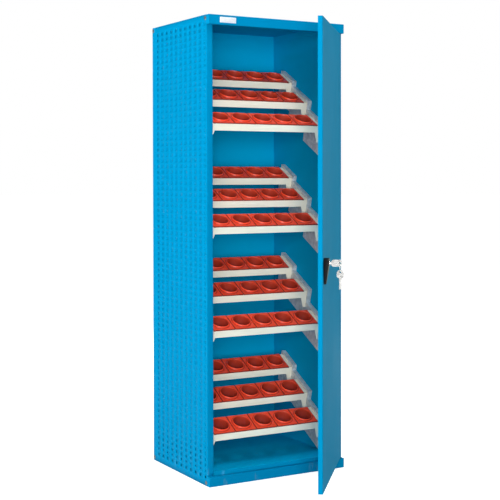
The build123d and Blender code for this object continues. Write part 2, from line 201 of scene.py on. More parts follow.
# %% A socket that can be added and multiplied
class Signal:
    """One output of a node, a number that varies over the surface."""

    def __init__(self, paint, output):
        self.paint = paint
        self.output = output

    def math(self, operation, first, second):
        """A Math node of that operation."""
        return self.paint.node("Math", {"operation": operation}, {0: first, 1: second})

    def __add__(self, other):
        return self.math("ADD", self, other)

    def __sub__(self, other):
        return self.math("SUBTRACT", self, other)

    def __rsub__(self, other):
        return self.math("SUBTRACT", other, self)

    def __mul__(self, other):
        return self.math("MULTIPLY", self, other)

    __radd__ = __add__
    __rmul__ = __mul__


class Paint:
    """A finish under construction: a material, its shader and the one method that adds nodes."""

    def __init__(self, name, **constants):
        self.material = bpy.data.materials.new(name)
        self.material.use_nodes = True
        self.tree = self.material.node_tree
        self.shader = self.tree.nodes["Principled BSDF"]
        self.place = Signal(self, self.tree.nodes.new("ShaderNodeTexCoord").outputs["Object"])
        self.surface(**constants)

    def connect(self, socket, value):
        """Links a signal to a socket, or sets the socket to a plain value."""
        if isinstance(value, Signal):
            self.tree.links.new(value.output, socket)
        elif socket.type == "RGBA" and len(value) == 3:
            socket.default_value = (*value, 1.0)
        else:
            socket.default_value = value

    def node(self, kind, settings, sockets, output=0):
        """Adds a node of a kind, sets it up, feeds its sockets and returns one of its outputs."""
        made = self.tree.nodes.new("ShaderNode" + kind)
        for name, value in settings.items():
            setattr(made, name, value)
        for name, value in sockets.items():
            self.connect(made.inputs[name], value)
        return Signal(self, made.outputs[output])

    def surface(self, **values):
        """Sets the shader's own sockets, such as Roughness or Base_Color."""
        for name, value in values.items():
            self.connect(self.shader.inputs[name.replace("_", " ")], value)
        return self

    def noise(self, size, detail=2.0, stretch=(1.0, 1.0, 1.0)):
        """Soft noise from 0 to 1 whose lumps are about size metres across."""
        place = self.node("Mapping", {"vector_type": "POINT"}, {"Vector": self.place, "Scale": stretch})
        return self.node("TexNoise", {}, {"Vector": place, "Scale": 0.5 / size, "Detail": detail})

    def ramp(self, value, low, high):
        """0 below low, 1 above high and an even slope between them."""
        return self.node("MapRange", {"clamp": True}, {"Value": value, "From Min": low, "From Max": high})

    def axis(self, name):
        """The place along X, Y or Z."""
        return self.node("SeparateXYZ", {}, {"Vector": self.place}, name)

    def blend(self, first, second, share):
        """A colour between two colours."""
        return self.node("MixRGB", {}, {"Fac": share, "Color1": first, "Color2": second})

    def bump(self, height, depth, strength):
        """A normal tilted by a height from 0 to 1, as if it stood depth metres tall."""
        return self.node("Bump", {}, {"Height": height, "Distance": depth, "Strength": strength})


print("signs that work on a socket: + - *")

# %% [markdown]
# ## Powder coat
#
# The steel is powder coated. The powder melts into a skin with a faint orange peel, lumps of a couple
# of millimetres that only show where light grazes them. Broad patches differ very slightly in tone, and
# the coat is a little thinner and duller low down, where the cabinet meets shoes and brooms. The same
# recipe gives the blue shell and the cream trays with other colours. The inside is painted a lighter blue
# than the shell, which stands in for light there. The floor of the base is painted lighter still, as
# painted light, and its front is close to the blue of the shell.

# %% Powder coat
def powder_coat(name, colour, deep, gloss=0.34, shine=0.008, front=None):
    """colour on most of the surface, deep in broad patches and in fine grain.

    front is a pair, a place along Y and a colour: the surface in front of that place has that colour.
    """
    paint = Paint(name, Specular_IOR_Level=shine)
    patches = paint.ramp(paint.noise(0.35, 3.0), 0.35, 0.75)
    grain = paint.noise(0.0011, 3.0)
    peel = paint.noise(0.0024, 1.0)
    scuffs = paint.ramp(paint.noise(0.012, 5.0, (1.0, 1.0, 0.35)), 0.60, 0.72)
    near_floor = 1.0 - paint.ramp(paint.axis("Z"), 0.02, 0.16)
    worn = scuffs * near_floor
    tone = paint.blend(colour, deep, patches * 0.45 + grain * 0.25)
    if front:
        place, front_colour = front
        behind = paint.ramp(paint.axis("Y"), place, place + 1.5 * mm)
        tone = paint.blend(front_colour, tone, behind)
    dusty = tuple(0.75 * c + 0.06 for c in colour)
    paint.surface(Base_Color=paint.blend(tone, dusty, worn * 0.7),
                  Roughness=gloss + 0.10 * patches + 0.06 * grain + 0.2 * worn,
                  Normal=paint.bump(peel * 0.7 + grain * 0.3, 0.00006, 0.5))
    return paint.material


shell_paint = powder_coat("shell_paint", (0.0, 0.196, 0.388), (0.0, 0.180, 0.360))
# The inside is the shell's blue painted lighter, which stands in for the light inside
inner_paint = powder_coat("inner_paint", (0.0, 0.345, 0.605), (0.0, 0.322, 0.570), 0.38)
tray_paint = powder_coat("tray_paint", (0.925, 0.865, 0.700), (0.885, 0.820, 0.650), 0.40, 0.3)
# The base's floor is painted lighter than the shell's blue, which stands in for light on it. Its front keeps
# a blue close to the shell's.
base_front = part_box("base_tray")[0].y + 0.5 * mm
base_paint = powder_coat("base_paint", (0.0, 0.440, 0.750), (0.0, 0.415, 0.710), 0.38,
                         front=(base_front, (0.0, 0.230, 0.430)))
print("powder coats", shell_paint.name, inner_paint.name, tray_paint.name, base_paint.name)

# %% [markdown]
# ## Moulded plastic
#
# The socket inserts are moulded in a vivid orange red. Such parts come out of a mould with a fine spark
# texture, and a filled plastic shows faint flow marks. The inserts also get used: whatever goes in and
# out scrapes the rim, so some areas are slightly smoother. The grooves between the inserts, the moat
# round each collar, the plate's front edge and the depth of the sockets are darkened with painted shade.
# The mesh says where, with a number for each point that the finish reads by name. The handle and the
# hinge bushes are black mouldings of the same kind, without the painted shade.

# %% Moulded plastic
def moulded(name, colour, deep, gloss, shine=0.45, shade_tone=None):
    """colour and deep in flow marks. The last argument is the dark tone of painted shade, used where the
    points carry it.
    """
    paint = Paint(name, Specular_IOR_Level=shine)
    flow = paint.ramp(paint.noise(0.045, 3.0, (1.0, 0.4, 0.4)), 0.3, 0.7)
    spark = paint.noise(0.0006, 2.0)
    rubbed = paint.ramp(paint.noise(0.009, 4.0), 0.58, 0.70)
    tone = paint.blend(colour, deep, flow * 0.5 + spark * 0.25)
    # Painted shade: where the points carry it, the tone turns to a dark red that stands in for shade
    if shade_tone:
        painted_shade = paint.node("Attribute", {"attribute_name": "painted_shade"}, {}, "Fac")
        tone = paint.blend(tone, shade_tone, painted_shade)
    paint.surface(Base_Color=tone, Roughness=gloss + 0.12 * spark - 0.08 * rubbed,
                  Normal=paint.bump(spark, 0.00004, 0.6))
    return paint.material


# The last colour is the dark red of painted shade, for the grooves, the plate's edge, the moat and the
# sockets
insert_plastic = moulded("insert_plastic", (1.0, 0.082, 0.028), (0.940, 0.060, 0.022), 0.36, shine=0.35,
                         shade_tone=(0.080, 0.012, 0.010))
handle_plastic = moulded("handle_plastic", (0.006, 0.006, 0.007), (0.012, 0.012, 0.013), 0.30, shine=0.16)
bush_plastic = moulded("bush_plastic", (0.030, 0.030, 0.032), (0.020, 0.020, 0.021), 0.45)
print("plastics", insert_plastic.name, handle_plastic.name, bush_plastic.name)

# %% [markdown]
# ## Galvanised sheet
#
# The stepped brackets are cut from hot-dip galvanised sheet. Zinc crystals grow into flat flakes, the
# spangle, and each flake tilts the light its own way. A Voronoi texture gives one random value for each
# cell, which turns into brightness and roughness.

# %% Galvanised sheet
def galvanised_sheet(name, flake=0.011):
    """Flakes of about flake metres. Noise pushes the place they are read at, so their edges wander."""
    paint = Paint(name, Metallic=0.30)
    wander = paint.noise(0.02, 2.0)
    push = paint.node("CombineXYZ", {}, {"X": wander, "Y": wander, "Z": wander})
    warped = paint.node("VectorMath", {"operation": "MULTIPLY_ADD"},
                        {0: push, 1: (0.01, 0.01, 0.01), 2: paint.place})
    cells = paint.node("TexVoronoi", {"feature": "F1"}, {"Vector": warped, "Scale": 1.0 / flake}, "Color")
    flakes = paint.node("SeparateColor", {}, {"Color": cells}, "Red")
    streaks = paint.noise(0.004, 4.0, (1.0, 1.0, 0.15))
    mix = flakes * 0.65 + streaks * 0.35
    paint.surface(Base_Color=paint.blend((0.440, 0.450, 0.450), (0.780, 0.795, 0.790), mix),
                  Roughness=0.34 + 0.22 * flakes + 0.08 * streaks,
                  Normal=paint.bump(flakes * 0.5 + streaks * 0.5, 0.00004, 0.4))
    return paint.material


galvanised = galvanised_sheet("galvanised")
print("galvanised sheet", galvanised.name)

# %% [markdown]
# ## Bare and plated metal
#
# The lock barrel, keys, pins and the plate on the fascia are plated or bare metal. Brushing leaves fine
# lines along one direction, and handling leaves faint hazy patches. Chrome has hardly any of either.

# %% Plated metal
def plated(name, colour, gloss, haze, lines=0.0, along=(1.0, 1.0, 0.04), metal=1.0):
    """colour with hazy patches and brushed lines. A metal share below 1 is a satin lacquer over it."""
    paint = Paint(name, Metallic=metal)
    brushed = paint.noise(0.0004, 3.0, along)
    patches = paint.ramp(paint.noise(0.006, 3.0), 0.4, 0.7)
    dim = tuple(0.82 * c for c in colour)
    paint.surface(Base_Color=paint.blend(colour, dim, patches * 0.5 + brushed * lines),
                  Roughness=gloss + haze * patches + 0.12 * lines * brushed,
                  Normal=paint.bump(brushed * lines + patches * 0.1, 0.00001, 0.3))
    return paint.material


chrome = plated("chrome", (0.78, 0.78, 0.79), 0.07, 0.06)
key_metal = plated("key_metal", (0.42, 0.42, 0.41), 0.22, 0.10, 0.35, (0.1, 1.0, 1.0))
steel = plated("steel", (0.56, 0.57, 0.58), 0.28, 0.12, 0.4)
zinc = plated("zinc", (0.30, 0.31, 0.33), 0.34, 0.10, metal=0.8)
plate_metal = plated("plate_metal", (0.80, 0.82, 0.86), 0.36, 0.06, 0.6, (0.03, 1.0, 1.0), metal=0.25)
finishes = {m.name: m for m in (shell_paint, inner_paint, tray_paint, insert_plastic, galvanised,
                                bush_plastic, plate_metal, steel, handle_plastic, chrome, key_metal)}
for part in record["subparts"]:
    node = nodes[part["node"]]
    node.data.materials.clear()
    node.data.materials.append(finishes[part["material_slot"]])
print("finishes", len(finishes), "given to", len(record["subparts"]), "parts")

# %% [markdown]
# ## Folds and cut edges
#
# A press brake never leaves a sharp corner. The outside of a fold is a quarter round of a few
# millimetres, while a cut edge only loses its burr. A copy of a part has its triangles joined back into
# whole faces, and then each edge is judged. Where both of its faces are wide the edge is a fold and gets
# the full radius. Where one face is as narrow as the sheet it is a cut edge and gets a small one. The
# Bevel modifier reads that choice as a weight on each edge. A key is the other way round: its outline has
# the wide rounds, and that lies between the narrow faces of its rim.

# %% Softened copies
def narrowest(face):
    """The smaller side of a rectangle with a face's area and length round.

    With h half the length round, it is (h - root(h squared - 4 x area)) / 2.
    """
    half_round = sum(edge.calc_length() for edge in face.edges) / 2
    root = max(half_round ** 2 - 4 * face.calc_area(), 0.0) ** 0.5
    return (half_round - root) / 2


def softened(node, fold, cut=0.25 * mm, wide=4 * mm, steps=3, corners=False):
    """A copy of a part with rounded edges: radius fold on its folds and cut on its cut edges.

    A face is wide when its smaller side is more than wide. With corners, it is the edges between two
    narrow faces that get the large radius.
    """
    mesh = nodes[node].data.copy()
    mesh.name = node + "_soft"
    work = bmesh.new()
    work.from_mesh(mesh)
    bmesh.ops.remove_doubles(work, verts=work.verts, dist=1e-5)
    bmesh.ops.dissolve_limit(work, angle_limit=radians(0.5), verts=work.verts, edges=work.edges)
    weight = work.edges.layers.float.new("bevel_weight_edge")
    for edge in work.edges:
        if len(edge.link_faces) == 2 and edge.calc_face_angle(0.0) > radians(25):
            sides = [narrowest(face) for face in edge.link_faces]
            folded = max(sides) < wide if corners else min(sides) > wide
            edge[weight] = 1.0 if folded and edge.is_convex else cut / fold
    work.to_mesh(mesh)
    work.free()
    mesh.shade_smooth()
    mesh.set_sharp_from_angle(angle=radians(40))
    part = next(p for p in record["subparts"] if p["node"] == node)
    piece = finished(bpy.data.objects.new(node + "_soft", mesh), nodes[node]["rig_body"],
                     finishes[part["material_slot"]], [node])
    bevel = piece.modifiers.new("edges", "BEVEL")
    bevel.limit_method = "WEIGHT"
    bevel.width = fold
    bevel.segments = steps
    bevel.harden_normals = True
    return piece


for name in ("top_fascia", "base_fascia"):
    softened(name, 3.0 * mm)
softened("door_panel", 2.6 * mm)
softened("door_stiffener", 2.0 * mm)
for name in ("top_cap", "base_tray", "right_inner_wall", "left_inner_wall"):
    softened(name, 2.0 * mm)
# The base's floor is painted lighter as painted light and its front is not, so its copy gets the paint that
# holds both
bpy.data.objects["base_tray_soft"].data.materials[0] = base_paint
for name in sorted(nodes):
    if "_bracket_" in name:
        softened(name, 0.7 * mm, wide=6 * mm, steps=2)
    if "_frame_" in name:
        softened(name, 0.6 * mm, steps=2)
for name in ("hinge_pins", "rod_guides", "lock_cam", "lock_rod_upper", "lock_rod_lower", "handle_spindle",
             "lock_plug", "hinge_bushes"):
    softened(name, 0.3 * mm, 0.15 * mm, steps=2)
for name in ("working_key", "spare_key"):
    softened(name, 6.0 * mm, 0.35 * mm, wide=9 * mm, steps=4, corners=True)

# %% [markdown]
# ## The perforated sides
#
# Each side is punched before it is folded. So the drawing is made in the same order. A flat blank is
# described by a distance along the sheet, and a bent line says where each distance ends up once the
# stile, the skin and the rear return are folded. The holes are square with small round corners, one row
# every 25 mm and one column every 50 mm. A boolean for each of nearly nine hundred holes would be slow
# and leave ragged faces. Instead the skin is laid out as tiles, each a ring of twelve faces between a
# hole and its share of the sheet.

# %% A bent line
def bent_line(corners, radius, steps):
    """A line through corners whose bends are arcs.

    Each arc starts and ends radius x tan(turn / 2) from its corner, and its points are at even angles.
    """
    corners = [np.array(corner, float) for corner in corners]
    line = [corners[0][None]]
    for before, corner, after in zip(corners, corners[1:], corners[2:]):
        come = (corner - before) / np.linalg.norm(corner - before)
        leave = (after - corner) / np.linalg.norm(after - corner)
        side = np.array([-come[1], come[0]]) * np.sign(come[0] * leave[1] - come[1] * leave[0])
        turn = np.arccos(come @ leave)
        angle = np.linspace(0.0, turn, steps + 1)[:, None]
        start = corner - come * radius * np.tan(turn / 2)
        line.append(start + radius * (np.sin(angle) * come + (1 - np.cos(angle)) * side))
    return np.vstack(line + [corners[-1][None]])


sheet = 1.5 * mm
fold_outside, fold_steps = 3.5 * mm, 5
lip_depth, return_depth = 18 * mm, 16 * mm
hole_half, hole_corner = 5.0 * mm, 1.2 * mm
hole_straight = hole_half - hole_corner
column_step, row_step = 50 * mm, 25 * mm
panel_low, panel_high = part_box("right_side_panel")
first_column, first_row, plain_margin = panel_low.y + 17 * mm, 37.5 * mm, 30 * mm
columns = np.arange(first_column, panel_high.y - plain_margin, column_step)
rows = np.arange(first_row, panel_high.z - plain_margin, row_step)
floor_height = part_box("base_tray")[1].z
print("perforation", len(columns), "columns by", len(rows), "rows")

# %% [markdown]
# ### The punched sheet
#
# The tiles fill the flat of the skin between the first row and the last. What is left is a plain sheet:
# the folds, which run the whole height, and a band below and above the tiles. Every part of it is divided
# at the same lines as the tiles, so that all their points meet and merge.

# %% The punched sheet
def punched_tiles(column_lows, column_highs):
    """One ring of twelve faces for each hole.

    The inner points go round the hole. A quarter holds the middle of a corner's arc and the two ends of
    a straight side, and turning it by a right angle gives the next quarter. The outer points go round
    the tile, level with the inner ones.
    """
    middle = hole_half - hole_corner * (1 - cos(pi / 4))
    quarter = np.array([complex(-middle, -middle), complex(-hole_straight, -hole_half),
                        complex(hole_straight, -hole_half)])
    rim = (quarter[None] * 1j ** np.arange(4)[:, None]).ravel()
    y_lines = np.stack([column_lows, columns - hole_straight, columns + hole_straight, column_highs], axis=1)
    z_lines = rows[:, None] + np.array([-row_step / 2, -hole_straight, hole_straight, row_step / 2])
    y_pick = [0, 1, 2, 3, 3, 3, 3, 2, 1, 0, 0, 0]
    z_pick = [0, 0, 0, 0, 1, 2, 3, 3, 3, 3, 2, 1]
    shape = (len(columns), len(rows), len(rim))
    outer = np.stack(np.broadcast_arrays(y_lines[:, None, y_pick], z_lines[None, :, z_pick]), axis=-1)
    inner = np.stack([np.broadcast_to(columns[:, None, None] + rim.real, shape),
                      np.broadcast_to(rows[None, :, None] + rim.imag, shape)], axis=-1)
    flat = np.stack([outer, inner], axis=2).reshape(-1, 2, len(rim), 2)
    number = np.arange(flat.shape[0] * 2 * len(rim)).reshape(-1, 2, len(rim))
    after = np.roll(number, -1, axis=2)
    faces = np.stack([number[:, 0], after[:, 0], after[:, 1], number[:, 1]], axis=-1).reshape(-1, 4)
    return flat.reshape(-1, 2), faces


def folded_strips(column_ends, row_lines):
    """The folds over the whole height, without the flat that the tiles fill.

    The bent line has a point at each end of that flat, and the cell between them is left out. The lip of
    the stile stops at the floor sheet and under the roof.
    """
    edge, face = panel_low.x, panel_high.x
    heights = np.sort(np.concatenate([[0.0, floor_height, panel_high.z - sheet, panel_high.z], row_lines]))
    line = bent_line([(edge, panel_low.y + lip_depth), (edge, panel_low.y), (face, panel_low.y),
                      (face, panel_high.y), (face - return_depth, panel_high.y)], fold_outside, fold_steps)
    off_start = np.abs(line[:, 1] - column_ends[0]) + (line[:, 0] < face - 1e-6)
    start = int(np.argmin(off_start))
    folded = np.vstack([line[:start + 1], [[face, column_ends[1]]], line[start + 1:]])
    points = np.empty((len(heights), len(folded), 3))
    points[..., :2] = folded
    points[..., 2] = heights[:, None]
    keep = np.ones((len(heights) - 1, len(folded) - 1), bool)
    keep[:, start] = False
    no_lip = (heights[1:] < floor_height) | (heights[:-1] > panel_high.z - 2 * sheet)
    keep[no_lip, :fold_steps + 1] = False
    return grid(points, keep=keep)


def side_sheet(side):
    """The blank of one side, bent along its stile and its return. side is 1 on the right, -1 on the left."""
    face = panel_high.x
    flat_start = panel_low.y + fold_outside
    column_lows = np.maximum(columns - column_step / 2, flat_start)
    column_highs = columns + column_step / 2
    row_lines = np.sort(np.concatenate([rows - hole_straight, rows + hole_straight, rows - row_step / 2,
                                        rows[-1:] + row_step / 2]))
    y_lines = np.sort(np.concatenate([column_lows, columns - hole_straight, columns + hole_straight,
                                      column_highs[-1:]]))
    bands = []
    for bottom, top in ((0.0, row_lines[0]), (row_lines[-1], panel_high.z)):
        y, z = np.meshgrid(y_lines, [bottom, top])
        bands.append(grid(np.stack([np.full_like(y, face), y, z], axis=-1)))
    flat, faces = punched_tiles(column_lows, column_highs)
    tiles = np.column_stack([np.full(len(flat), face), flat]), faces
    points, faces = joined(folded_strips((flat_start, column_highs[-1]), row_lines), *bands, tiles)
    if side < 0:
        points = points * [-1, 1, 1]
        faces = faces[:, ::-1]
    return points, faces


for side, name in ((1, "right_side_panel"), (-1, "left_side_panel")):
    piece = add_piece(name.replace("panel", "sheet"), side_sheet(side), "cabinet", shell_paint,
                      [name], outward=False)
    thicken(piece, sheet)
    print(piece.name, len(piece.data.polygons), "faces before its thickness")

# %% [markdown]
# ## Lathe work
#
# The heads of the corner bolts and the lock's barrel are turned shapes. A profile of radius and height
# goes round an axis: each point moves to (radius x cosine, radius x sine, height) of the frame that
# carries it. Each side has four bolts, one near each corner, with a small recess in the head.

# %% Turned shapes
def placed(points, origin, across, up, out):
    """Moves points from a small frame of their own to the object: a share of each direction is added."""
    return np.asarray(origin, float) + points @ np.array([across, up, out], float)


def turned(profile, origin, across, up, out, steps):
    """A profile of (radius, height) in millimetres, carried round the out direction in even steps."""
    profile = np.array(profile) * mm
    angle = np.linspace(0.0, 2 * pi, steps, endpoint=False)
    radius, height = profile[:, :1], profile[:, 1:]
    local = np.stack([radius * np.cos(angle), radius * np.sin(angle), height + 0 * angle], axis=-1)
    points, faces = grid(local, close_columns=True)
    return placed(points, origin, across, up, out), faces


bolt_head = [(0.0, 1.2), (2.6, 1.2), (2.9, 2.2), (3.3, 2.4), (5.2, 2.2), (7.2, 1.8), (8.8, 0.9), (9.3, 0.0),
             (0.0, 0.0)]
front_inset, rear_inset, end_inset = 10 * mm, 12 * mm, 14 * mm
bolt_places = [(y, z) for y in (panel_low.y + front_inset, panel_high.y - rear_inset)
               for z in (end_inset, panel_high.z - end_inset)]
for side, word in ((1, "right"), (-1, "left")):
    heads = [turned(bolt_head, (side * panel_high.x, y, z), (0, side, 0), (0, 0, 1), (side, 0, 0), steps=20)
             for y, z in bolt_places]
    add_piece(f"corner_bolts_{word}", joined(*heads), "cabinet", zinc)
print("corner bolts", 2 * len(bolt_places))

# %% [markdown]
# ## The socket inserts
#
# Each insert is a square moulding with a deep round socket. Seen from above it has a collar that stands
# five millimetres proud round the hole, a shallow moat at the collar's foot and a flat that ends in a
# rounded rim. A thin lip hangs over the front of the tray. One surface can hold all of it. Think of rays
# from the socket's axis, and follow the section of the moulding along them: over the stop ring at the
# bottom, up the socket's wall, over the collar, through the moat, across the flat, down the rim and the
# lip, under the plate and down the body, then back inside. Near the axis the stations are circles and
# further out they are rounded squares. The section closes on itself, so the surface has no poles.

# %% Rounded squares and one insert
def outline(half_x, half_y, corner, angle):
    """A rounded rectangle.

    For each angle it takes the point of a large circle, finds the nearest point of the rectangle that is
    smaller by the corner radius, and steps out from there by that radius.
    """
    far = 1.6 * max(half_x, half_y) * np.stack([np.cos(angle), np.sin(angle)], axis=-1)
    inner = np.array([half_x - corner, half_y - corner])
    near = np.clip(far, -inner, inner)
    way = far - near
    return near + corner * way / np.linalg.norm(way, axis=-1, keepdims=True)


socket = 37.5
insert_run = 110.8
plate_half, body_half = (52.0, insert_run / 2), (43.0, 43.0)
plate_depth, body_depth, tube_depth = 5.0, 40.0, 46.0
lip_foot = -plate_depth - 2.0
rays = 72
# Circles from the stop ring up the wall, over the collar and through the moat to the flat: how far each
# is outside the socket's wall, its height and its share of painted shade
inner_circles = [(-9.0, -tube_depth, 0.9), (-9.0, 1.5 - tube_depth, 0.9), (-1.6, 2.5 - tube_depth, 0.75),
                 (-0.9, -30.0, 0.68), (-0.4, -12.0, 0.62), (0.0, -2.0, 0.58), (0.9, 3.6, 0.40),
                 (1.5, 4.9, 0.1), (2.2, 5.3, 0.0), (3.2, 5.1, 0.0), (4.0, 4.2, 0.05), (5.4, -0.8, 0.3),
                 (6.0, -2.0, 0.7), (7.6, -2.0, 0.5), (8.8, -1.2, 0.05)]
# Rounded squares across the flat, down the rim, over the groove's floor and round the lip: how far each is
# outside the plate, its corner radius, its height and its share of painted shade
plate_squares = [(-3.0, 4.0, -1.2, 0.0), (-2.3, 4.0, -1.3, 0.2), (-1.8, 4.0, -1.7, 0.7),
                 (-1.6, 4.0, -3.0, 0.8), (-0.05, 0.5, -3.2, 0.8), (-0.05, 0.5, lip_foot, 0.9),
                 (-0.85, 0.5, lip_foot, 0.9), (-0.9, 0.5, -plate_depth, 0.9)]
# The same for the body below the plate, and then circles again, back up to the stop ring
body_squares = [(0.0, 8.0, -plate_depth, 0.5), (-0.4, 8.0, -plate_depth - 6.0, 0.5),
                (-1.6, 8.0, 1.0 - body_depth, 0.5), (-2.4, 8.0, -body_depth, 0.5)]
foot_circles = [(2.4, -body_depth, 0.7), (1.4, 0.6 - tube_depth, 0.7), (0.8, -tube_depth, 0.7)]


def insert_shape():
    """One insert in millimetres: X across, Y up the slope, Z away from the tray, zero at the top.

    Each station of the section is an outline, a height and its share of painted shade, the darkening that
    stands in for the shade in the grooves, along the lip and down the socket.
    """
    angle = np.linspace(0.0, 2 * pi, rays, endpoint=False)
    circle = np.stack([np.cos(angle), np.sin(angle)], axis=-1)
    section = [((socket + past) * circle, height, shade_share) for past, height, shade_share in inner_circles]
    for half, squares in ((plate_half, plate_squares), (body_half, body_squares)):
        for past, corner, height, shade_share in squares:
            section.append((outline(half[0] + past, half[1] + past, corner, angle), height, shade_share))
    section += [((socket + past) * circle, height, shade_share) for past, height, shade_share in foot_circles]
    points = np.array([np.column_stack([flat, np.full(rays, height)]) for flat, height, shade_share in section])
    # The share of painted shade of each station, repeated for each of its points
    painted_shade = np.repeat([shade_share for flat, height, shade_share in section], rays)
    return *grid(points * mm, close_rows=True, close_columns=True), painted_shade


def socket_rows():
    """The record's bores by row: the name of a row, then its (place of the top, axis) pairs."""
    found = {}
    for mount in record["mounts"]:
        if mount["kind"] == "bore":
            axis = np.array(mount["axis"])
            top = np.array(mount["pos_m"]) + axis * mount["dims"]["length_mm"] / 2 * mm
            found.setdefault(mount["name"].rsplit("_", 1)[0], []).append((top, axis))
    return found


points, faces, painted_shade = insert_shape()
rows_of_sockets = socket_rows()
width_way = np.array([1.0, 0.0, 0.0])
# Every insert carries the same painted shade in its moat, its grooves, along its plate's edge and down its
# socket
for name, seats in rows_of_sockets.items():
    made = [(placed(points, top, width_way, np.cross(axis, width_way), axis), faces) for top, axis in seats]
    tier = name.split("_")[-1]
    add_piece(name.replace("socket", "inserts"), joined(*made), "cabinet", insert_plastic,
              [tier + "_inserts"], smooth=50.0, painted_shade=np.tile(painted_shade, len(seats)))
print("rows", len(rows_of_sockets), "inserts", sum(len(s) for s in rows_of_sockets.values()))

# %% [markdown]
# ## Label strips
#
# Each apron has two lips that hold a strip of card, here a bare, cream one. A strip is a thin rounded
# tile that lies on the sloping apron, so it is drawn flat and then set along two directions: the
# cabinet's width and the apron's own fall, which leans back by fifteen degrees.

# %% Bare strips
def tile(half_x, half_y, corner, thickness, edge):
    """A flat tile, whose front loses its sharp edge.

    Its rings go from the middle of the back, round the edge and to the middle of the front. Each ring is
    the outline times a share, at a height.
    """
    angle = np.linspace(0.0, 2 * pi, 48, endpoint=False)
    inset = edge / half_y
    rings = [(0.0, 0.0), (1.0, 0.0), (1.0, thickness - edge), (1.0 - 0.3 * inset, thickness - 0.3 * edge),
             (1.0 - inset, thickness), (0.0, thickness)]
    flat = outline(half_x, half_y, corner, angle)
    points = [np.column_stack([share * flat, np.full(len(angle), height)]) for share, height in rings]
    return grid(np.array(points), close_columns=True)


card = Paint("label_card", Specular_IOR_Level=0.25)
fibre = card.noise(0.0009, 3.0, (1.0, 1.0, 2.0))
yellowed = card.ramp(card.noise(0.08, 2.0), 0.3, 0.8)
aged = yellowed * 0.6 + fibre * 0.3
card.surface(Base_Color=card.blend((0.900, 0.860, 0.720), (0.860, 0.800, 0.620), aged),
             Roughness=0.68 + 0.1 * fibre, Normal=card.bump(fibre, 0.00003, 0.4))
lean = radians(15.0)
fall = np.array([0.0, sin(lean), -cos(lean)])
strip_start, strip_end, strip_half = 4.7 * mm, 28.8 * mm, 249.5 * mm
strip_corner, strip_thick, strip_edge = 0.6 * mm, 0.45 * mm, 0.2 * mm
overhang = 1.0
shape, faces = tile(strip_half, (strip_end - strip_start) / 2, strip_corner, strip_thick, strip_edge)
for name, seats in rows_of_sockets.items():
    top, axis = seats[0]
    up_slope = np.cross(axis, width_way)
    plate_front = top * [0, 1, 1] - up_slope * (insert_run / 2 - overhang) * mm
    middle = plate_front - axis * plate_depth * mm + fall * (strip_start + strip_end) / 2
    strip = placed(shape, middle, width_way, -fall, np.cross(width_way, -fall)), faces
    add_piece(name.replace("socket", "label"), strip, "cabinet", card.material)
print("label strips", len(rows_of_sockets))

# %% [markdown]
# ## The plate on the fascia
#
# The plate is a thin sheet of brushed aluminium with rounded corners. It is the same tile as a label
# strip, stood upright. Its place and size come from the part that it replaces.

# %% Bare plate
plate_low, plate_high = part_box("blank_plate")
plate_wide, plate_tall = plate_high.x - plate_low.x, plate_high.z - plate_low.z
plate_thick, plate_corner, plate_edge = plate_high.y - plate_low.y, 2.5 * mm, 0.3 * mm
plate_middle = ((plate_low.x + plate_high.x) / 2, plate_high.y, (plate_low.z + plate_high.z) / 2)
shape, faces = tile(plate_wide / 2, plate_tall / 2, plate_corner, plate_thick, plate_edge)
plate = placed(shape, plate_middle, (1, 0, 0), (0, 0, 1), (0, -1, 0)), faces
add_piece("fascia_plate", plate, "cabinet", plate_metal, ["blank_plate"])
print("plate", round(plate_wide / mm), "by", round(plate_tall / mm), "mm")

# %% [markdown]
# ## The swing handle
#
# The lever is a drop-shaped moulding, deep at the hub and thin at the tail, with the lock in its hub. Its
# outline is two circles and the two lines that touch both. On such an outline every point is a circle's
# centre plus a radius along the outward normal, so a smaller radius gives the outline moved inwards. That
# makes the rounded shoulder easy. The rings then run over the front to the edge of the lock's recess and
# down to its floor.

# %% Lever
turn_joint, ring_joint = joints["handle_turn"], joints["ring_swing"]
door_out = np.array(turn_joint["axis"], float)
door_up = np.array([0.0, 0.0, 1.0])
door_across = np.cross(door_up, door_out)
lever_gap = 0.5 * mm
lever_place = np.array(turn_joint["pos_m"]) + lever_gap * door_out
hub, tail, reach = 21.0, 8.0, 78.0
hub_depth, tail_depth = 22.0, 9.0
slope_start, slope_soft = 10.0, 6.0
recess, recess_rim, recess_floor = 10.2, 10.812, 8.0
shoulder, small_edge = 3.0, 0.6
hub_points, tail_points = 41, 25


def lever_depth(y):
    """The lever's depth: even over the hub, then a slope to the tail, with a rounded change between.

    The rounding is (t + root(t squared + soft squared)) / 2, which is 0 far above the change and t below.
    """
    below = -slope_start - y
    ramp = (below + np.sqrt(below ** 2 + slope_soft ** 2)) / 2
    return hub_depth - (hub_depth - tail_depth) / (reach + tail - slope_start) * ramp


